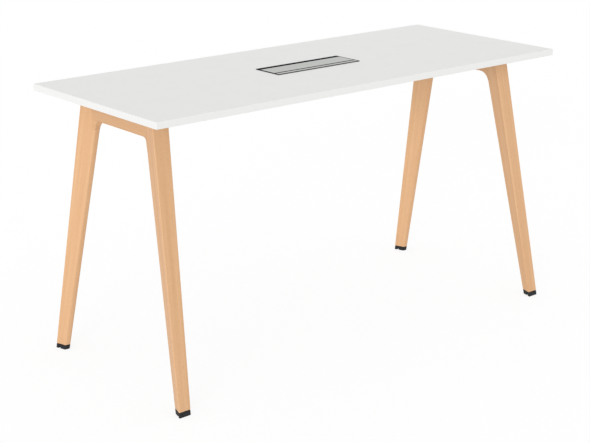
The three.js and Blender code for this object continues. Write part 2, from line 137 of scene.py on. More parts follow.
def extrude(shape, faces, direction):
    """Draws faces out along a direction, takes out those left inside, and gives back the far end."""
    drawn = bmesh.ops.extrude_face_region(shape, geom=faces)["geom"]
    bmesh.ops.translate(shape, vec=direction, verts=[p for p in drawn if isinstance(p, bmesh.types.BMVert)])
    inside = [face for face in faces if all(len(edge.link_faces) > 2 for edge in face.edges)]
    bmesh.ops.delete(shape, geom=inside, context="FACES_ONLY")
    return [part for part in drawn if isinstance(part, bmesh.types.BMFace)]


def round_edges(shape, edges, run, segments):
    """Rounds edges over; the run is measured from the sharp edge along either face."""
    bmesh.ops.bevel(shape, geom=edges, offset=run, offset_type="OFFSET", segments=segments, profile=0.5,
                    affect="EDGES", material=-1, clamp_overlap=True)


def sharp_edges(shape, chosen):
    """The edges, among those with both ends chosen, where two faces meet at a sharp turn."""
    return [edge for edge in shape.edges if len(edge.link_faces) == 2
            and all(chosen(vert.co) for vert in edge.verts)
            and edge.calc_face_angle() > sharp_turn]


def frame_slab(side_view):
    """A thick slab with the outline of a piece in the end frame's side view."""
    slab = bmesh.new()
    outline = slab.faces.new([slab.verts.new((-blank_half, y, z)) for y, z in side_view])
    extrude(slab, [outline], (2 * blank_half, 0, 0))
    return slab


def cut_corner_fan(slab, side):
    """Cuts lines that fan out from the centre of a round inner corner, for the thickness to follow."""
    for step in range(corner_steps + 1):
        turn = inner_lean + (math.pi / 2 - inner_lean) * step / corner_steps
        cut_across(slab, (0, side * curve_y, curve_z), (0, -side * math.sin(turn), math.cos(turn)))


def slab_lines(slab, chosen):
    """Edges of a slab that run in its side view, on either face, with both ends chosen."""
    return [edge for edge in slab.edges if edge.verts[0].co.x * edge.verts[1].co.x > 0
            and all(chosen(vert.co.y, vert.co.z) for vert in edge.verts)]


def on_outside(y, z):
    """Whether a spot in the side view lies on the leg's outer face."""
    return abs(abs(y) - at_height(outer_y, z)) < hair


def on_nose(y, z):
    """Whether a spot in the side view lies on the narrow inside of the frame."""
    return frame_half_width(y, z) < nose_width / 2 + hair


def tighten_corner(y, z):
    """Moves a spot on the nose of a round inner corner out to the tighter curve of the frame's outside."""
    turn = math.atan2(z - curve_z, abs(y) - curve_y)
    half = (math.pi / 2 - inner_lean) / 2
    off_middle = turn - inner_lean - half
    if abs(off_middle) > half:
        return y, z
    reach = corner_radius / math.cos(half - abs(off_middle))
    to_centre = (corner_radius - outside_corner_radius) / math.cos(half)
    past_centre = outside_corner_radius ** 2 - (to_centre * math.sin(off_middle)) ** 2
    if past_centre > 0:
        on_curve = to_centre * math.cos(off_middle) + math.sqrt(past_centre)
        bearing = math.atan2(
            on_curve * math.sin(abs(off_middle)), on_curve * math.cos(off_middle) - to_centre)
        reach = on_curve if bearing < half else reach
    return math.copysign(curve_y + reach * math.cos(turn), y), curve_z + reach * math.sin(turn)


def draw_to_thickness(slab):
    """Draws the slab in to the thickness and the splay of an end frame."""
    for vert in slab.verts:
        _, y, z = vert.co
        half = math.copysign(frame_half_width(y, z), vert.co.x)
        if half > 0 and on_nose(y, z):
            y, z = tighten_corner(y, z)
        vert.co = (at_height(centre_x, z) + half, y, z)


def make_piece(name, shape, material):
    """Makes an object of a finished shape, smooth over its rounded edges, with its place in its mesh."""
    mesh = bpy.data.meshes.new(name)
    shape.to_mesh(mesh)
    shape.free()
    mesh.shade_smooth()
    mesh.set_sharp_from_angle(angle=shading_turn)
    mesh.materials.append(material)
    piece = bpy.data.objects.new(name, mesh)
    scene.collection.objects.link(piece)
    piece.modifiers.new("even_shading", "WEIGHTED_NORMAL").keep_sharp = True
    return piece


def linear(colour):
    """Linear red, green, blue and alpha of an sRGB hex colour."""
    parts = [int(colour[at:at + 2], 16) / 255 for at in (1, 3, 5)]
    return [part / 12.92 if part <= 0.04045 else ((part + 0.055) / 1.055) ** 2.4 for part in parts] + [1.0]


def add_node(tree, kind, inputs=None, output=None, **settings):
    """Adds a node with its settings, input values and links, and gives back the output to link on."""
    node = tree.nodes.new(kind)
    for name, setting in settings.items():
        setattr(node, name, setting)
    for name, given in (inputs or {}).items():
        socket = next(one for one in node.inputs if one.identifier == name)
        if isinstance(given, bpy.types.NodeSocket):
            tree.links.new(given, socket)
        else:
            socket.default_value = given
    return node.outputs[output] if output else next((one for one in node.outputs if one.enabled), None)


def start_material(name):
    """A new material with an empty node tree."""
    material = bpy.data.materials.new(name)
    material.use_nodes = True
    material.node_tree.nodes.clear()
    return material, material.node_tree


# Beech under a clear satin lacquer: pinkish tan, with soft growth bands along the grain and short dark
# flecks. Real flecks are 2 mm long and 0.3 mm wide; they are drawn about five times as coarse so that they
# show. Each piece also stores a tone that darkens it, from 0 for the palest to 1 for the deepest: the rails
# get the deepest, which is painted shade for the shade under the board, and the front legs are a little
# deeper than the back ones.
band_width, band_length = 14 * mm, 700 * mm
fleck_width, fleck_length = 1.5 * mm, 10 * mm
beech, tree = start_material("lacquered_beech")
grain = add_node(tree, "ShaderNodeAttribute", attribute_name="grain", output="Vector")
band_place = add_node(tree, "ShaderNodeMapping", {
    "Vector": grain, "Scale": (1 / band_width, 1 / band_width, 1 / band_length)})
bands = add_node(tree, "ShaderNodeTexNoise", {"Vector": band_place, "Scale": 1.0, "Detail": 3.0})
band_share = add_node(tree, "ShaderNodeMapRange", {"Value": bands, "From Min": 0.3, "From Max": 0.7})
band_tone = add_node(tree, "ShaderNodeMix", {
    "Factor_Float": band_share, "A_Color": linear("#E5B78A"), "B_Color": linear("#DDAC7E")},
    data_type="RGBA")
fleck_place = add_node(tree, "ShaderNodeMapping", {
    "Vector": grain, "Scale": (1 / fleck_width, 1 / fleck_width, 1 / fleck_length)})
flecks = add_node(tree, "ShaderNodeTexNoise", {"Vector": fleck_place, "Scale": 1.0, "Detail": 1.0})
fleck_share = add_node(tree, "ShaderNodeMapRange", {
    "Value": flecks, "From Min": 0.58, "From Max": 0.74, "To Max": 0.35})
fleck_tone = add_node(tree, "ShaderNodeMix", {
    "Factor_Float": fleck_share, "A_Color": band_tone, "B_Color": linear("#BC885A")}, data_type="RGBA")
# Each piece's stored tone darkens its wood; on the rails this is painted shade from the board above.
tone_and_painted_shade = add_node(tree, "ShaderNodeAttribute", attribute_name="tone_and_painted_shade", output="Fac")
beech_tone = add_node(tree, "ShaderNodeMix", {
    "Factor_Float": tone_and_painted_shade, "A_Color": fleck_tone, "B_Color": linear("#F8F7F5")}, data_type="RGBA",
    blend_type="MULTIPLY")
beech_gloss = add_node(tree, "ShaderNodeMapRange", {"Value": bands, "To Min": 0.42, "To Max": 0.56})
beech_pores = add_node(tree, "ShaderNodeBump", {"Height": flecks, "Strength": 0.15, "Distance": 0.1 * mm})
beech_skin = add_node(tree, "ShaderNodeBsdfPrincipled", {
    "Base Color": beech_tone, "Roughness": beech_gloss, "Normal": beech_pores, "IOR": 1.5})
add_node(tree, "ShaderNodeOutputMaterial", {"Surface": beech_skin})


def lay_grain(piece, along, tone_and_painted_shade):
    """Stores, for the beech, how far each point lies through, across and along the grain, and its tone, which
    on the rails is painted shade.
    """
    along = Vector(along).normalized()
    across = along.cross((1, 0, 0)).normalized()
    through = across.cross(along)
    grain = piece.data.attributes.new("grain", "FLOAT_VECTOR", "POINT")
    for spot, vert in zip(grain.data, piece.data.vertices):
        spot.vector = (vert.co.dot(through), vert.co.dot(across), vert.co.dot(along))
    tone = piece.data.attributes.new("tone_and_painted_shade", "FLOAT", "POINT")
    for spot in tone.data:
        spot.value = tone_and_painted_shade


leg_joint_y = joint_y + joint_gap
leg_shoulder = shoulder_z - joint_gap
# The front legs are a little deeper in tone than the back ones.
leg_tone = {"front": 0.4, "back": 0.0}
for end, x_side in ends.items():
    for side, y_side in sides.items():
        leg = frame_slab([
            (at_height(outer_y, foot_top), foot_top), (at_height(outer_y, underside), underside),
            (leg_joint_y, underside), (leg_joint_y, leg_shoulder),
            (at_height(inner_y, leg_shoulder), leg_shoulder), (at_height(inner_y, foot_top), foot_top)])
        cut_corner_fan(leg, 1)
        for step in range(1, leg_steps):
            cut_across(leg, (0, 0, foot_top + (leg_shoulder - foot_top) * step / leg_steps), (0, 0, 1))
        outer_lines, nose_lines = slab_lines(leg, on_outside), slab_lines(leg, on_nose)
        draw_to_thickness(leg)
        round_edges(leg, outer_lines, outer_edge_run, segments=4)
        round_edges(leg, nose_lines, nose_edge_run, segments=4)
        joint_edges = sharp_edges(leg, lambda co: abs(co.y - leg_joint_y) < hair)
        round_edges(leg, joint_edges, joint_chamfer, segments=1)
        round_edges(leg, sharp_edges(leg, lambda co: co.z < foot_top + hair), floor_chamfer, segments=2)
        bmesh.ops.scale(leg, vec=(x_side, y_side, 1), verts=leg.verts)
        bmesh.ops.recalc_face_normals(leg, faces=leg.faces)
        piece = make_piece(f"beech_leg_{side}_{end}", leg, beech)
        lay_grain(piece, (
            x_side * (centre_x[1] - centre_x[0]),
            y_side * (outer_y[1] + inner_y[1] - outer_y[0] - inner_y[0]) / 2, underside), leg_tone[side])
        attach(piece, "table")
        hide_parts(f"leg_{side}_{end}")

# Rails
# Two short rails of the same beech, one across each end under the board. A rail's ends carry the round inner
# corners down to a small shoulder, and its underside is moulded to the same nose as the legs.
rail_blank_bottom = 885 * mm
# The rails get the deepest tone: painted shade, for the shade under the board.
rail_painted_shade = 1.0
for end, x_side in ends.items():
    half_view = [
        (joint_y, underside), (joint_y, rail_blank_bottom),
        (at_height(inner_y, rail_blank_bottom), rail_blank_bottom),
        (at_height(inner_y, rail_bottom), rail_bottom)]
    rail = frame_slab(half_view + [(-y, z) for y, z in reversed(half_view)])
    inner_corners = [edge for edge in rail.edges if all(
        abs(vert.co.z - rail_bottom) < hair and vert.co.y * edge.verts[0].co.y > 0 for vert in edge.verts)]
    round_edges(rail, inner_corners, corner_run, segments=corner_steps)
    shoulders = cut_across(rail, (0, 0, shoulder_z), (0, 0, 1), clear_inner=True)
    bmesh.ops.holes_fill(rail, edges=shoulders)
    for y_side in sides.values():
        cut_corner_fan(rail, y_side)
    nose_lines = slab_lines(rail, on_nose)
    draw_to_thickness(rail)
    round_edges(rail, nose_lines, nose_edge_run, segments=4)
    joint_edges = sharp_edges(rail, lambda co: abs(abs(co.y) - joint_y) < hair)
    round_edges(rail, joint_edges, joint_chamfer, segments=1)
    bmesh.ops.scale(rail, vec=(x_side, 1, 1), verts=rail.verts)
    bmesh.ops.recalc_face_normals(rail, faces=rail.faces)
    piece = make_piece(f"beech_rail_{end}", rail, beech)
    lay_grain(piece, (0, 1, 0), rail_painted_shade)
    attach(piece, "table")
    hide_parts(f"rail_{end}")

# Dowels
# Eight turned beech dowels, two in each joint of leg and rail, glued in and hidden once the frame is closed.
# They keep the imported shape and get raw, unlacquered beech, with fine streaks along the grain.
streak_width, streak_length = 1 * mm, 40 * mm
raw_beech, tree = start_material("raw_beech")
dowel_place = add_node(tree, "ShaderNodeMapping", {
    "Vector": add_node(tree, "ShaderNodeTexCoord", output="Object"),
    "Scale": (1 / streak_width, 1 / streak_length, 1 / streak_width)})
dowel_streaks = add_node(tree, "ShaderNodeTexNoise", {"Vector": dowel_place, "Scale": 1.0, "Detail": 2.0})
dowel_tone = add_node(tree, "ShaderNodeMix", {
    "Factor_Float": dowel_streaks, "A_Color": linear("#DDB58A"), "B_Color": linear("#C7996B")},
    data_type="RGBA")
dowel_skin = add_node(tree, "ShaderNodeBsdfPrincipled", {"Base Color": dowel_tone, "Roughness": 0.75})
add_node(tree, "ShaderNodeOutputMaterial", {"Surface": dowel_skin})


def dress_node(name, material):
    """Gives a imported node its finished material."""
    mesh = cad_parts[name].data
    mesh.materials.clear()
    mesh.materials.append(material)


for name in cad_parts:
    if name.startswith("dowel_"):
        dress_node(name, raw_beech)

# Feet
# Four black nylon feet, moulded to the leg's section and a hair smaller. A stepped-in neck at the top leaves
# a dark line under the wood. A slot across the underside leaves two pads on the floor and hides the screw
# that holds the foot.
foot_inset = 0.1 * mm
neck_height, neck_inset = 2.5 * mm, 2 * mm
foot_shoulder = foot_top - neck_height
slot_width, slot_height = 10 * mm, 9 * mm
slot_share = 0.38
slot_y = outer_y[0] - slot_share * (outer_y[0] - inner_y[0])
slot_low, slot_high = slot_y - slot_width / 2, slot_y + slot_width / 2
foot_edge_run = 0.8 * mm

# Nylon, moulded against a spark-eroded tool: dark grey-black and dull, with a fine pebble that breaks up its
# sheen. The pebble is 0.3 mm on the real foot and drawn at 1.2 mm.
pebble_size, scuff_size = 1.2 * mm, 18 * mm
nylon, tree = start_material("moulded_black_nylon")
foot_place = add_node(tree, "ShaderNodeTexCoord", output="Object")
pebble = add_node(tree, "ShaderNodeTexNoise", {
    "Vector": foot_place, "Scale": 1 / pebble_size, "Detail": 2.0})
scuffs = add_node(tree, "ShaderNodeTexNoise", {
    "Vector": foot_place, "Scale": 1 / scuff_size, "Detail": 4.0})
nylon_tone = add_node(tree, "ShaderNodeMix", {
    "Factor_Float": scuffs, "A_Color": linear("#2B2B2D"), "B_Color": linear("#373739")}, data_type="RGBA")
nylon_gloss = add_node(tree, "ShaderNodeMapRange", {"Value": scuffs, "To Min": 0.5, "To Max": 0.7})
nylon_bump = add_node(tree, "ShaderNodeBump", {"Height": pebble, "Strength": 0.3, "Distance": 0.1 * mm})
nylon_skin = add_node(tree, "ShaderNodeBsdfPrincipled", {
    "Base Color": nylon_tone, "Roughness": nylon_gloss, "Normal": nylon_bump, "Specular IOR Level": 0.08})
add_node(tree, "ShaderNodeOutputMaterial", {"Surface": nylon_skin})

for end, x_side in ends.items():
    for side, y_side in sides.items():
        foot = frame_slab([
            (at_height(outer_y, 0), 0), (at_height(outer_y, foot_shoulder), foot_shoulder),
            (at_height(inner_y, foot_shoulder), foot_shoulder), (at_height(inner_y, 0), 0),
            (slot_low, 0), (slot_low, slot_height), (slot_high, slot_height), (slot_high, 0)])
        outer_lines, nose_lines = slab_lines(foot, on_outside), slab_lines(foot, on_nose)
        draw_to_thickness(foot)
        round_edges(foot, outer_lines, outer_edge_run, segments=4)
        round_edges(foot, nose_lines, nose_edge_run, segments=4)
        round_edges(foot, sharp_edges(foot, lambda co: co.z < hair), foot_edge_run, segments=3)
        shoulder_edges = sharp_edges(foot, lambda co: co.z > foot_shoulder - hair)
        round_edges(foot, shoulder_edges, foot_edge_run, segments=2)
        bmesh.ops.recalc_face_normals(foot, faces=foot.faces)
        top = [max(foot.faces, key=lambda face: face.calc_center_median().z)]
        bmesh.ops.inset_region(foot, faces=top, thickness=neck_inset, use_even_offset=True)
        extrude(foot, top, (0, 0, neck_height))
        bmesh.ops.scale(foot, vec=(x_side, y_side, 1), verts=foot.verts)
        bmesh.ops.recalc_face_normals(foot, faces=foot.faces)
        low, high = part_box(f"foot_{side}_{end}")
        middle, size = (low + high) / 2, high - low
        shrink = Vector((1 - 2 * foot_inset / size.x, 1 - 2 * foot_inset / size.y, 1))
        bmesh.ops.scale(foot, vec=shrink, space=Matrix.Translation(-middle), verts=foot.verts)
        piece = make_piece(f"nylon_foot_{side}_{end}", foot, nylon)
        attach(piece, "table")
        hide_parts(f"foot_{side}_{end}")

# Foot screws
# One pan-head wood screw holds each foot, its head up in the foot's slot. Steel, cold-headed with a six-lobe
# recess, then zinc plated.
merge_distance = 0.001 * mm
recess_share, recess_depth_share = 0.5, 0.6
lobes, lobe_depth = 6, 0.14
head_flat_share, head_flat_drop, head_side_share = 0.75, 0.04, 0.5
tip_share, tip_end_share = 0.2, 0.1
screw_steps = 24

# Zinc plate over steel: pale blue-grey metal with a faintly clouded sheen from the plating bath, in patches a
# few millimetres across.
clouding_size = 3 * mm
zinc, tree = start_material("zinc_plated_steel")
screw_place = add_node(tree, "ShaderNodeTexCoord", output="Object")
clouding = add_node(tree, "ShaderNodeTexNoise", {
    "Vector": screw_place, "Scale": 1 / clouding_size, "Detail": 3.0})
zinc_tone = add_node(tree, "ShaderNodeMix", {
    "Factor_Float": clouding, "A_Color": linear("#BFC3C6"), "B_Color": linear("#A2A5A8")}, data_type="RGBA")
zinc_gloss = add_node(tree, "ShaderNodeMapRange", {"Value": clouding, "To Min": 0.25, "To Max": 0.45})
zinc_skin = add_node(tree, "ShaderNodeBsdfPrincipled", {
    "Base Color": zinc_tone, "Metallic": 1.0, "Roughness": zinc_gloss})
add_node(tree, "ShaderNodeOutputMaterial", {"Surface": zinc_skin})


def make_screw(node, shank, head, head_height, point):
    """A turned pan-head screw in a node's place, head down, with a lobed recess in its head."""
    low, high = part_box(node)
    foot, tip = low.z, high.z
    seat = foot + head_height
    recess, recess_depth = head * recess_share, head_height * recess_depth_share
    screw = bmesh.new()
    profile = [
        (0, foot + recess_depth), (recess, foot + recess_depth), (recess, foot),
        (head * head_flat_share, foot + head_flat_drop * head_height),
        (head, foot + head_side_share * head_height), (head, seat), (shank, seat), (shank, tip - point),
        (tip_share * shank, tip - tip_end_share * point), (0, tip)]
    verts = [screw.verts.new((radius, 0, z)) for radius, z in profile]
    line = [screw.edges.new(pair) for pair in zip(verts, verts[1:])]
    bmesh.ops.spin(screw, geom=verts + line, cent=(0, 0, 0), axis=(0, 0, 1), angle=2 * math.pi,
                   steps=screw_steps, use_merge=True)
    bmesh.ops.remove_doubles(screw, verts=screw.verts, dist=merge_distance)
    bmesh.ops.recalc_face_normals(screw, faces=screw.faces)
    for vert in screw.verts:
        if abs(vert.co.xy.length - recess) < merge_distance:
            bearing = math.atan2(vert.co.y, vert.co.x)
            vert.co.xy *= 1 - lobe_depth + lobe_depth * math.cos(lobes * bearing)
    middle = (low + high) / 2
    bmesh.ops.translate(screw, vec=(middle.x, middle.y, 0), verts=screw.verts)
    piece = make_piece(f"zinc_{node}", screw, zinc)
    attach(piece, "table")
    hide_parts(node)


for end in ends:
    for side in sides:
        make_screw(f"foot_screw_{side}_{end}", shank=2 * mm, head=3.4 * mm, head_height=2.4 * mm,
                   point=4 * mm)

# Beams
# Two rectangular steel tubes, 50 by 25 mm with a 2 mm wall, from rail to rail under the board. A flat tongue
# is welded into each end and let into the rail, and round holes below let a driver reach the screws.
beam_end_x = 831.75 * mm
beam_wall = 2 * mm
beam_corner = 3 * mm
tongue_low_z, tongue_high_z = 1043 * mm, 1048.5 * mm
tongue_half_width = 11 * mm
tongue_in_beam = 60 * mm
tongue_corner = 4 * mm
driver_hole, driver_margin = 6 * mm, 5 * mm
hole_steps = 24
screws_in_beam = 4
facing = 0.9

# Powder coat on steel: light grey and half matt, with a slight orange peel. The peel's waves are 1 mm on the
# real coat and drawn at 2.5 mm.
peel_size, coat_cloud_size = 2.5 * mm, 60 * mm
powder_coat, tree = start_material("grey_powder_coat")
coat_place = add_node(tree, "ShaderNodeTexCoord", output="Object")
peel = add_node(tree, "ShaderNodeTexNoise", {
    "Vector": coat_place, "Scale": 1 / peel_size, "Detail": 1.0})
coat_cloud = add_node(tree, "ShaderNodeTexNoise", {
    "Vector": coat_place, "Scale": 1 / coat_cloud_size, "Detail": 2.0})
coat_tone = add_node(tree, "ShaderNodeMix", {
    "Factor_Float": coat_cloud, "A_Color": linear("#BABDBF"), "B_Color": linear("#AEB1B3")}, data_type="RGBA")
coat_gloss = add_node(tree, "ShaderNodeMapRange", {"Value": peel, "To Min": 0.4, "To Max": 0.55})
coat_bump = add_node(tree, "ShaderNodeBump", {"Height": peel, "Strength": 0.2, "Distance": 0.1 * mm})
coat_skin = add_node(tree, "ShaderNodeBsdfPrincipled", {
    "Base Color": coat_tone, "Roughness": coat_gloss, "Normal": coat_bump, "IOR": 1.5})
add_node(tree, "ShaderNodeOutputMaterial", {"Surface": coat_skin})


def add_block(shape, low, high):
    """Adds a rectangular block between two corners and gives back its faces."""
    low, high = Vector(low), Vector(high)
    placed = Matrix.Translation((low + high) / 2) @ Matrix.Diagonal(high - low).to_4x4()
    verts = bmesh.ops.create_cube(shape, size=1, matrix=placed)["verts"]
    return list(dict.fromkeys(face for vert in verts for face in vert.link_faces))


def flat_face_at(shape, spot):
    """The face that holds a spot in its plane."""
    return next(face for face in shape.faces if abs((spot - face.verts[0].co).dot(face.normal)) < hair
                and bmesh.geometry.intersect_face_point(face, spot))


def punch_hole(shape, spot, across, up, radius, margin):
    """Punches a round hole in a flat sheet: parts off the metal round it and bridges that to a circle."""
    spot, across, up = Vector(spot), Vector(across), Vector(up)
    for direction in (across, -across, up, -up):
        face = flat_face_at(shape, spot)
        bmesh.ops.bisect_plane(shape, geom=[face, *face.edges, *face.verts],
                               plane_co=spot + direction * (radius + margin), plane_no=direction)
    face = flat_face_at(shape, spot)
    bmesh.ops.subdivide_edges(shape, edges=face.edges[:], cuts=hole_steps // 4 - 1)
    face = flat_face_at(shape, spot)
    outside = face.edges[:]
    bmesh.ops.delete(shape, geom=[face], context="FACES_ONLY")
    turned = Matrix((across, up, across.cross(up))).transposed().to_4x4()
    circle = bmesh.ops.create_circle(shape, cap_ends=False, radius=radius, segments=hole_steps,
                                     matrix=Matrix.Translation(spot) @ turned)["verts"]
    inside = list(dict.fromkeys(edge for vert in circle for edge in vert.link_edges))
    bmesh.ops.bridge_loops(shape, edges=outside + inside)


for row in sides:
    low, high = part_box(f"beam_{row}")
    middle_y = (low.y + high.y) / 2
    beam = bmesh.new()
    tube = add_block(beam, (-beam_end_x, low.y, low.z), (beam_end_x, high.y, high.z))
    open_ends = [face for face in tube if abs(face.normal.x) > facing]
    bmesh.ops.delete(beam, geom=open_ends, context="FACES_ONLY")
    round_edges(beam, sharp_edges(beam, lambda co: True), beam_corner, segments=4)
    bmesh.ops.recalc_face_normals(beam, faces=beam.faces)
    for number in range(1, screws_in_beam + 1):
        screw_low, screw_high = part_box(f"top_screw_{row}_{number}")
        screw_x = (screw_low.x + screw_high.x) / 2
        punch_hole(beam, (screw_x, middle_y, low.z), (1, 0, 0), (0, -1, 0), driver_hole, driver_margin)
    bmesh.ops.recalc_face_normals(beam, faces=beam.faces)
    bmesh.ops.solidify(beam, geom=beam.faces[:], thickness=beam_wall)
    for x_side in ends.values():
        reach = sorted((x_side * (beam_end_x - tongue_in_beam), x_side * high.x))
        tongue = add_block(beam, (reach[0], middle_y - tongue_half_width, tongue_low_z),
                           (reach[1], middle_y + tongue_half_width, tongue_high_z))
        tip_corners = [edge for face in tongue for edge in face.edges if all(
            abs(abs(vert.co.x) - high.x) < hair and vert.co.y == edge.verts[0].co.y for vert in edge.verts)]
        round_edges(beam, list(dict.fromkeys(tip_corners)), tongue_corner, segments=4)
    piece = make_piece(f"steel_beam_{row}", beam, powder_coat)
    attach(piece, "table")
    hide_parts(f"beam_{row}")

# Tongue screws
# Eight countersunk screws of zinc-plated steel hold the beams' tongues down in the rails, out of sight under
# the board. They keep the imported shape.
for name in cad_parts:
    if name.startswith("tongue_screw_"):
        dress_node(name, zinc)

# Table top board
# Particle board, 25 mm thick, faced on both sides with white melamine and sawn square, with a cut-out in the
# middle for the cable box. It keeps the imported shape, whose faces are as flat as the real board's.

# Melamine facing: hard white resin with a fine pearl pressed into it, which gives a soft, wide sheen.
# The pearl is 0.6 mm on the real board and drawn at 2.5 mm.
pearl_size, mottle_size = 2.5 * mm, 90 * mm
melamine, tree = start_material("white_melamine")
board_place = add_node(tree, "ShaderNodeTexCoord", output="Object")
pearl = add_node(tree, "ShaderNodeTexNoise", {
    "Vector": board_place, "Scale": 1 / pearl_size, "Detail": 1.0})
mottle = add_node(tree, "ShaderNodeTexNoise", {
    "Vector": board_place, "Scale": 1 / mottle_size, "Detail": 3.0})
melamine_tone = add_node(tree, "ShaderNodeMix", {
    "Factor_Float": mottle, "A_Color": linear("#F1F1EF"), "B_Color": linear("#EDEDEB")}, data_type="RGBA")
melamine_gloss = add_node(tree, "ShaderNodeMapRange", {"Value": pearl, "To Min": 0.45, "To Max": 0.6})
melamine_bump = add_node(tree, "ShaderNodeBump", {"Height": pearl, "Strength": 0.1, "Distance": 0.05 * mm})
melamine_skin = add_node(tree, "ShaderNodeBsdfPrincipled", {
    "Base Color": melamine_tone, "Roughness": melamine_gloss, "Normal": melamine_bump, "IOR": 1.5})
add_node(tree, "ShaderNodeOutputMaterial", {"Surface": melamine_skin})
dress_node("top_board", melamine)

# Edge bands
# White ABS strip, 2 mm thick, glued round the sawn edges: the end strips run the full depth and the long ones
# butt between them. The outer edges are scraped to a small radius.
band_edge_run = 1.2 * mm
long_edge = 1.0

# ABS strip: extruded and faintly drawn out along its length, a little glossier than the board. The drawn
# lines are 0.3 mm apart on the real strip and drawn at 2 mm.
line_length, line_width = 300 * mm, 2 * mm
edging, tree = start_material("white_abs_edging")
band_place = add_node(tree, "ShaderNodeMapping", {
    "Vector": add_node(tree, "ShaderNodeTexCoord", output="Object"),
    "Scale": (1 / line_length, 1 / line_length, 1 / line_width)})
drawn_lines = add_node(tree, "ShaderNodeTexNoise", {"Vector": band_place, "Scale": 1.0, "Detail": 2.0})
edging_tone = add_node(tree, "ShaderNodeMix", {
    "Factor_Float": drawn_lines, "A_Color": linear("#F1F1EF"), "B_Color": linear("#EDEDEB")},
    data_type="RGBA")
edging_gloss = add_node(tree, "ShaderNodeMapRange", {"Value": drawn_lines, "To Min": 0.35, "To Max": 0.5})
edging_skin = add_node(tree, "ShaderNodeBsdfPrincipled", {
    "Base Color": edging_tone, "Roughness": edging_gloss, "IOR": 1.53})
add_node(tree, "ShaderNodeOutputMaterial", {"Surface": edging_skin})

board_low, board_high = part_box("top_board")
for name in (*sides, *ends):
    low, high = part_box(f"edge_band_{name}")
    band = bmesh.new()
    add_block(band, low, high)
    if name in sides:
        free = [edge for edge in sharp_edges(band, lambda co: not board_low.y - mm < co.y < board_high.y + mm)
                if edge.calc_length() > long_edge]
    else:
        free = [edge for edge in band.edges
                if any(not board_low.x - mm < vert.co.x < board_high.x + mm for vert in edge.verts)]
    round_edges(band, free, band_edge_run, segments=3)
    bmesh.ops.recalc_face_normals(band, faces=band.faces)
    piece = make_piece(f"abs_edge_band_{name}", band, edging)
    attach(piece, "table")
    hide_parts(f"edge_band_{name}")

# Top screws
# Eight pan-head screws of zinc-plated steel, four up through each beam into the board. A driver reaches them
# through the round holes in the beam's underside.
for row in sides:
    for number in range(1, screws_in_beam + 1):
        make_screw(f"top_screw_{row}_{number}", shank=2 * mm, head=4.5 * mm, head_height=2.5 * mm,
                   point=4 * mm)

# Cable tray
# Folded and welded 1.5 mm sheet steel, open at the top, with a flange all round that is screwed against the
# underside. Each end wall has a round hole for a grommet; the tray is powder coated like the beams.
tray_low, tray_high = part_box("cable_tray")
tray_wall = 1.5 * mm
tray_half_length, tray_half_width = 203 * mm, 63.5 * mm
tray_corner = 2.5 * mm
grommet_z = 1005 * mm
grommet_hole, grommet_margin = 17.3 * mm, 8 * mm

tray = bmesh.new()
walls = add_block(tray, (-tray_half_length, -tray_half_width, tray_low.z + tray_wall),
                  (tray_half_length, tray_half_width, tray_high.z))
open_top = [face for face in walls if face.normal.z > facing]
bmesh.ops.delete(tray, geom=open_top, context="FACES_ONLY")
round_edges(tray, sharp_edges(tray, lambda co: True), tray_corner, segments=4)
top_edges = [edge for edge in tray.edges if edge.is_boundary]
flange = bmesh.ops.extrude_edge_only(tray, edges=top_edges)["geom"]
for vert in (part for part in flange if isinstance(part, bmesh.types.BMVert)):
    vert.co.x += math.copysign(tray_high.x - tray_half_length, vert.co.x)
    vert.co.y += math.copysign(tray_high.y - tray_half_width, vert.co.y)
for x_side in ends.values():
    punch_hole(tray, (x_side * tray_half_length, 0, grommet_z), (0, 1, 0), (0, 0, 1), grommet_hole,
               grommet_margin)
bmesh.ops.recalc_face_normals(tray, faces=tray.faces)
if flat_face_at(tray, Vector((0, 0, tray_low.z + tray_wall))).normal.z < 0:
    bmesh.ops.reverse_faces(tray, faces=tray.faces)
bmesh.ops.solidify(tray, geom=tray.faces[:], thickness=tray_wall)
piece = make_piece("steel_cable_tray", tray, powder_coat)
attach(piece, "table")
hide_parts("cable_tray")

# Cable grommets
# Two moulded rubber rings, pressed into the holes in the tray's ends, where the cables pass through. A groove
# round each ring grips the sheet steel.
grommet_bore, grommet_seat = 13 * mm, 17 * mm
grommet_edge_run = 1.2 * mm
wall_gap = 0.3 * mm
grommet_steps = 32

# Rubber: deep black and quite dull, with a slightly powdery bloom. The bloom is drawn in 3 mm patches.
bloom_size = 3 * mm
rubber, tree = start_material("black_rubber")
rubber_place = add_node(tree, "ShaderNodeTexCoord", output="Object")
bloom = add_node(tree, "ShaderNodeTexNoise", {
    "Vector": rubber_place, "Scale": 1 / bloom_size, "Detail": 4.0})
rubber_tone = add_node(tree, "ShaderNodeMix", {
    "Factor_Float": bloom, "A_Color": linear("#191919"), "B_Color": linear("#272727")}, data_type="RGBA")
rubber_gloss = add_node(tree, "ShaderNodeMapRange", {"Value": bloom, "To Min": 0.75, "To Max": 0.95})
rubber_skin = add_node(tree, "ShaderNodeBsdfPrincipled", {
    "Base Color": rubber_tone, "Roughness": rubber_gloss})
add_node(tree, "ShaderNodeOutputMaterial", {"Surface": rubber_skin})

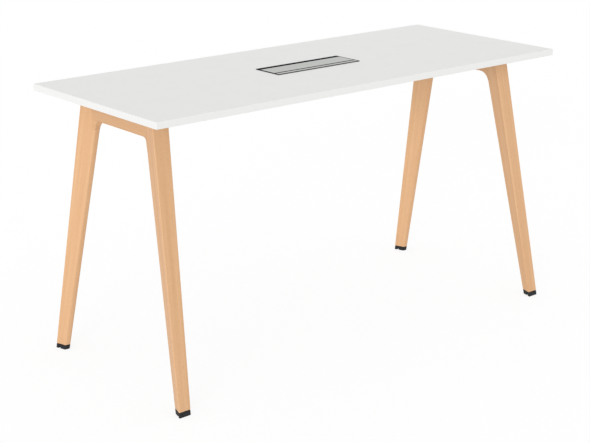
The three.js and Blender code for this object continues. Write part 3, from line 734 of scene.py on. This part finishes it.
for end in ends:
    low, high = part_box(f"cable_grommet_{end}")
    middle, lip = (low + high) / 2, (high.z - low.z) / 2
    groove = tray_wall / 2 + wall_gap
    outline = [
        (low.x, grommet_bore), (low.x, lip), (middle.x - groove, lip), (middle.x - groove, grommet_seat),
        (middle.x + groove, grommet_seat), (middle.x + groove, lip), (high.x, lip), (high.x, grommet_bore)]
    grommet = bmesh.new()
    verts = [grommet.verts.new((x, 0, radius)) for x, radius in outline]
    loop = [grommet.edges.new(pair) for pair in zip(verts, verts[1:] + verts[:1])]
    bmesh.ops.spin(grommet, geom=verts + loop, cent=(0, 0, 0), axis=(1, 0, 0), angle=2 * math.pi,
                   steps=grommet_steps, use_merge=True)
    bmesh.ops.remove_doubles(grommet, verts=grommet.verts, dist=merge_distance)
    bmesh.ops.recalc_face_normals(grommet, faces=grommet.faces)
    free_edges = sharp_edges(grommet, lambda co: not grommet_bore + hair < co.yz.length < lip - hair)
    round_edges(grommet, free_edges, grommet_edge_run, segments=3)
    bmesh.ops.translate(grommet, vec=(0, 0, middle.z), verts=grommet.verts)
    piece = make_piece(f"rubber_grommet_{end}", grommet, rubber)
    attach(piece, "table")
    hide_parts(f"cable_grommet_{end}")

# Tray screws
# Four small pan-head screws of zinc-plated steel, up through the tray's flange into the board, two along each
# long side.
for end in ends:
    for side in sides:
        make_screw(f"tray_screw_{side}_{end}", shank=1.75 * mm, head=3.5 * mm, head_height=2.2 * mm,
                   point=3 * mm)

# Cable box rim
# One black ABS moulding that drops into the cut-out: a flange with a lip round it rests on the board, a skirt
# goes down inside, and a ledge and a shelf within the lip carry the strip and, between two lugs, the hinge.
rim_low, rim_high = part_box("cable_box_rim")
table_top, rim_top = board_high.z, rim_high.z
lip_height, lip_width = 1.5 * mm, 5 * mm
ledge_z = rim_top - lip_height
edge_to_skirt = 9.5 * mm
edge_to_well = 12 * mm
rim_corner = 3 * mm
lip_edge_run = 0.4 * mm
pin_low, pin_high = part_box("hinge_pin_left")
hinge_y, hinge_z = ((pin_low + pin_high) / 2).yz
shelf_thickness, shelf_behind_hinge = 6.5 * mm, 6 * mm
barrel_radius = 2.5 * mm
barrel_x = 186.5 * mm
plate_x = 204.5 * mm
groove_gap, groove_steps = 0.3 * mm, 12
lug_gap, lug_foot, lug_steps = 0.5 * mm, 0.5 * mm, 16

# ABS, moulded with a deep matt grain: black from every side, with only a trace of sheen. The grain is 0.4 mm
# on the real rim and drawn at 1.2 mm.
matt_grain_size = 1.2 * mm
abs_black, tree = start_material("moulded_black_abs")
rim_place = add_node(tree, "ShaderNodeTexCoord", output="Object")
matt_grain = add_node(tree, "ShaderNodeTexNoise", {
    "Vector": rim_place, "Scale": 1 / matt_grain_size, "Detail": 2.0})
abs_tone = add_node(tree, "ShaderNodeMix", {
    "Factor_Float": matt_grain, "A_Color": linear("#18181A"), "B_Color": linear("#222224")}, data_type="RGBA")
abs_gloss = add_node(tree, "ShaderNodeMapRange", {"Value": matt_grain, "To Min": 0.85, "To Max": 1.0})
abs_bump = add_node(tree, "ShaderNodeBump", {"Height": matt_grain, "Strength": 0.25, "Distance": 0.1 * mm})
abs_skin = add_node(tree, "ShaderNodeBsdfPrincipled", {
    "Base Color": abs_tone, "Roughness": abs_gloss, "Normal": abs_bump, "Specular IOR Level": 0.12})
add_node(tree, "ShaderNodeOutputMaterial", {"Surface": abs_skin})

rim = bmesh.new()
lip_block = add_block(rim, (rim_low.x, rim_low.y, table_top), (rim_high.x, rim_high.y, rim_top))
top_face = next(face for face in lip_block if face.normal.z > facing)
bottom_face = next(face for face in lip_block if face.normal.z < -facing)
bmesh.ops.inset_region(rim, faces=[top_face], thickness=lip_width, use_even_offset=True)
bmesh.ops.inset_region(rim, faces=[bottom_face], thickness=edge_to_skirt, use_even_offset=True)
ledge = extrude(rim, [top_face], (0, 0, ledge_z - rim_top))
skirt_end = extrude(rim, [bottom_face], (0, 0, rim_low.z - table_top))
bmesh.ops.inset_region(rim, faces=ledge, thickness=edge_to_well - lip_width, use_even_offset=True)
bmesh.ops.inset_region(rim, faces=skirt_end, thickness=edge_to_well - edge_to_skirt, use_even_offset=True)
well_edges = [*ledge[0].edges, *skirt_end[0].edges]
bmesh.ops.delete(rim, geom=[*ledge, *skirt_end], context="FACES_ONLY")
bmesh.ops.bridge_loops(rim, edges=well_edges)
bmesh.ops.recalc_face_normals(rim, faces=rim.faces)
well_x = rim_high.x - edge_to_well
outer_corners = [edge for edge in rim.edges if edge.verts[0].co.xy == edge.verts[1].co.xy
                 and min(vert.co.z for vert in edge.verts) < ledge_z - hair
                 and abs(edge.verts[0].co.x) > well_x + mm]
round_edges(rim, outer_corners, rim_corner, segments=5)
round_edges(rim, sharp_edges(rim, lambda co: co.z > rim_top - hair), lip_edge_run, segments=2)


def spin_on_hinge(shape, x, y, z, turn, steps):
    """Spins a point about the hinge line and gives back the points of the curve in order."""
    start = shape.verts.new((x, y, z))
    bmesh.ops.spin(shape, geom=[start], cent=(0, hinge_y, hinge_z), axis=(1, 0, 0), angle=turn, steps=steps)
    curve = [start]
    while len(curve) <= steps:
        neighbours = [edge.other_vert(curve[-1]) for edge in curve[-1].link_edges]
        curve.append(next(vert for vert in neighbours if vert not in curve))
    return curve


groove_radius = barrel_radius + groove_gap
groove_tilt = math.asin((ledge_z - hinge_z) / groove_radius)
groove = spin_on_hinge(rim, -well_x, hinge_y - groove_radius * math.cos(groove_tilt), ledge_z,
                       math.pi + 2 * groove_tilt, groove_steps)
shelf_bottom, shelf_back_y = ledge_z - shelf_thickness, hinge_y + shelf_behind_hinge
well_front_y = rim_low.y + edge_to_well
shelf = groove + [rim.verts.new((-well_x, y, z)) for y, z in (
    (shelf_back_y, ledge_z), (shelf_back_y, shelf_bottom), (well_front_y, shelf_bottom),
    (well_front_y, ledge_z))]
extrude(rim, [rim.faces.new(shelf)], (2 * well_x, 0, 0))
lug_foot_z = table_top + lug_foot
lug_tilt = math.asin((lug_foot_z - hinge_z) / barrel_radius)
for x_side in ends.values():
    lug_x = x_side * (barrel_x + lug_gap)
    lug = spin_on_hinge(rim, lug_x, hinge_y + barrel_radius * math.cos(lug_tilt), lug_foot_z,
                        math.pi - 2 * lug_tilt, lug_steps)
    extrude(rim, [rim.faces.new(lug)], (x_side * plate_x - lug_x, 0, 0))
bmesh.ops.recalc_face_normals(rim, faces=rim.faces)
piece = make_piece("abs_cable_box_rim", rim, abs_black)
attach(piece, "table")
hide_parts("cable_box_rim")

# Front strip
# A flat strip of 1.2 mm aluminium, sawn from brushed sheet and bonded to the shelf in front of the hinge. It
# lies flush with the rim's lip.
plate_edge_run = 0.4 * mm

# Aluminium, brushed along its length and clear anodised: light silver-grey, with fine straight lines that
# spread the reflections. The lines are 0.2 mm apart on the real plate and drawn at 0.8 mm.
brush_length, brush_width = 80 * mm, 0.8 * mm
aluminium, tree = start_material("brushed_anodised_aluminium")
brush_place = add_node(tree, "ShaderNodeMapping", {
    "Vector": add_node(tree, "ShaderNodeTexCoord", output="Object"),
    "Scale": (1 / brush_length, 1 / brush_width, 1 / brush_width)})
brush_lines = add_node(tree, "ShaderNodeTexNoise", {"Vector": brush_place, "Scale": 1.0, "Detail": 3.0})
aluminium_tone = add_node(tree, "ShaderNodeMix", {
    "Factor_Float": brush_lines, "A_Color": linear("#BFC1BD"), "B_Color": linear("#ABADA9")},
    data_type="RGBA")
aluminium_gloss = add_node(tree, "ShaderNodeMapRange", {"Value": brush_lines, "To Min": 0.3, "To Max": 0.5})
aluminium_bump = add_node(tree, "ShaderNodeBump", {
    "Height": brush_lines, "Strength": 0.15, "Distance": 0.05 * mm})
aluminium_skin = add_node(tree, "ShaderNodeBsdfPrincipled", {
    "Base Color": aluminium_tone, "Metallic": 1.0, "Roughness": aluminium_gloss, "Normal": aluminium_bump})
add_node(tree, "ShaderNodeOutputMaterial", {"Surface": aluminium_skin})

strip = bmesh.new()
add_block(strip, *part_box("cable_box_strip"))
round_edges(strip, strip.edges[:], plate_edge_run, segments=2)
bmesh.ops.recalc_face_normals(strip, faces=strip.faces)
piece = make_piece("aluminium_front_strip", strip, aluminium)
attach(piece, "table")
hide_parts("cable_box_strip")

# Hinge pins
# Two plain pins of zinc-plated steel, pressed into the rim's lugs, on which the lid turns. They are hidden in
# the lugs and the hinge profile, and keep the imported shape.
for end in ends:
    dress_node(f"hinge_pin_{end}", zinc)

# Hinge profile
# An extruded bar of the rim's black ABS that turns on the pins in the shelf's groove. A thin cap along its
# back laps over the front edge of the lid, which is bonded to it.
hinge_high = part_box("cable_box_hinge")[1]
lid_low, lid_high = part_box("cable_box_lid")
plate_thickness = 1.2 * mm
plate_bottom = lid_high.z - plate_thickness
lap_gap = 0.3 * mm
cap_thickness = 0.4 * mm
cap_bottom = lid_high.z - cap_thickness
rod_steps = 24

hinge = bmesh.new()
notch_bottom = plate_bottom - lap_gap
rod_turn = 1.5 * math.pi + math.asin((notch_bottom - hinge_z) / barrel_radius)
rod = spin_on_hinge(hinge, -barrel_x, hinge_y, hinge_high.z, rod_turn, rod_steps)
cap = [hinge.verts.new((-barrel_x, y, z)) for y, z in (
    (lid_low.y - lap_gap, notch_bottom), (lid_low.y - lap_gap, cap_bottom), (hinge_high.y, cap_bottom),
    (hinge_high.y, hinge_high.z))]
extrude(hinge, [hinge.faces.new(rod + cap)], (2 * barrel_x, 0, 0))
bmesh.ops.recalc_face_normals(hinge, faces=hinge.faces)
piece = make_piece("abs_hinge_profile", hinge, abs_black)
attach(piece, "lid")
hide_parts("cable_box_hinge")

# Lid
# A plate of 1.2 mm aluminium with the strip's brushed finish. Its front edge is thinned to a lap under the
# hinge profile and its back edge is folded down to stiffen it. It lies flush in the rim and swings up to a
# right angle.
plate_gap = 0.5 * mm
plate_front_y = hinge_y + barrel_radius + plate_gap
lap_top = cap_bottom - lap_gap
bend_inside = 2 * mm
bend_outside = bend_inside + plate_thickness
bend_y = lid_high.y - bend_outside
bend_steps = 6

lid = bmesh.new()
section = [lid.verts.new((-barrel_x, y, z)) for y, z in (
    (lid_low.y, plate_bottom), (lid_high.y - plate_thickness, plate_bottom),
    (lid_high.y - plate_thickness, lid_low.z), (lid_high.y, lid_low.z), (lid_high.y, lid_high.z),
    (plate_front_y, lid_high.z), (plate_front_y, lap_top), (lid_low.y, lap_top))]
extrude(lid, [lid.faces.new(section)], (2 * barrel_x, 0, 0))
bmesh.ops.recalc_face_normals(lid, faces=lid.faces)
for fold_y, fold_z, radius in (
        (lid_high.y, lid_high.z, bend_outside), (lid_high.y - plate_thickness, plate_bottom, bend_inside)):
    fold = [edge for edge in lid.edges if all(
        abs(vert.co.y - fold_y) < hair and abs(vert.co.z - fold_z) < hair for vert in edge.verts)]
    round_edges(lid, fold, radius, segments=bend_steps)
cut_across(lid, (0, plate_front_y, 0), (0, 1, 0))
cut_across(lid, (0, 0, plate_bottom), (0, 0, 1))
for x_side in ends.values():
    end_faces = [face for face in lid.faces if face.normal.x * x_side > facing]
    plate_end = [face for face in end_faces if face.calc_center_median().y > plate_front_y
                 and face.calc_center_median().z > plate_bottom]
    extrude(lid, plate_end, (x_side * (plate_x - barrel_x), 0, 0))
bmesh.ops.recalc_face_normals(lid, faces=lid.faces)
upper_edges = sharp_edges(lid, lambda co: co.z > lid_high.z - hair
                          or co.y > bend_y - hair and co.z > plate_bottom - hair)
free_edges = [edge for edge in upper_edges if any(vert.co.z > plate_bottom + hair for vert in edge.verts)]
round_edges(lid, free_edges, plate_edge_run, segments=3)
bmesh.ops.remove_doubles(lid, verts=lid.verts, dist=hair)
piece = make_piece("aluminium_lid", lid, aluminium)
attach(piece, "lid")
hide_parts("cable_box_lid")

# Floor
# A plain white studio floor. What the camera and reflections see is white, with part of its own shading mixed
# in, so that the table keeps a faint shadow.
floor_half = 12.0
floor_grey = (0.8, 0.8, 0.8, 1)
white_share, white_strength = 0.75, 1.1
floor_paint, tree = start_material("white_studio_floor")


def seen_rays(tree):
    """One for rays by which the camera sees a surface, straight or in a reflection, and zero for others."""
    path = tree.nodes.new("ShaderNodeLightPath").outputs
    mirrored = add_node(tree, "ShaderNodeMath", {
        "Value": path["Is Glossy Ray"], "Value_001": path["Is Transmission Ray"]}, operation="MAXIMUM")
    return add_node(tree, "ShaderNodeMath", {
        "Value": path["Is Camera Ray"], "Value_001": mirrored}, operation="MAXIMUM")


share = add_node(tree, "ShaderNodeMath", {
    "Value": seen_rays(tree), "Value_001": white_share}, operation="MULTIPLY")
floor_shade = add_node(tree, "ShaderNodeBsdfDiffuse", {"Color": floor_grey})
floor_white = add_node(tree, "ShaderNodeEmission", {"Strength": white_strength})
floor_skin = add_node(tree, "ShaderNodeMixShader", {
    "Fac": share, "Shader": floor_shade, "Shader_001": floor_white})
add_node(tree, "ShaderNodeOutputMaterial", {"Surface": floor_skin})

floor_shape = bmesh.new()
bmesh.ops.create_grid(floor_shape, x_segments=4, y_segments=4, size=floor_half)
floor_mesh = bpy.data.meshes.new("studio_floor")
floor_shape.to_mesh(floor_mesh)
floor_shape.free()
floor_mesh.materials.append(floor_paint)
floor = bpy.data.objects.new("studio_floor", floor_mesh)
scene.collection.objects.link(floor)

# Light
# A wide soft lamp, low at the front left, and even light all round. The background is white where the camera
# or a reflection sees it.
even_light, seen_white = 0.8, 1.0
sun = bpy.data.lights.new("soft_lamp", "SUN")
sun.energy = 1.28
sun.angle = math.radians(25)
lamp = bpy.data.objects.new("soft_lamp", sun)
turn, height = math.radians(35), math.radians(10)
level = math.cos(height)
towards_lamp = Vector((-level * math.cos(turn), -level * math.sin(turn), math.sin(height)))
lamp.rotation_euler = towards_lamp.to_track_quat("Z", "Y").to_euler()
scene.collection.objects.link(lamp)

world = bpy.data.worlds.new("studio")
world.use_nodes = True
world.node_tree.nodes.clear()
tree = world.node_tree
strength = add_node(tree, "ShaderNodeMapRange", {
    "Value": seen_rays(tree), "To Min": even_light, "To Max": seen_white})
sky = add_node(tree, "ShaderNodeBackground", {"Color": (1, 1, 1, 1), "Strength": strength})
add_node(tree, "ShaderNodeOutputWorld", {"Surface": sky})
scene.world = world
scene.view_settings.view_transform = "Standard"
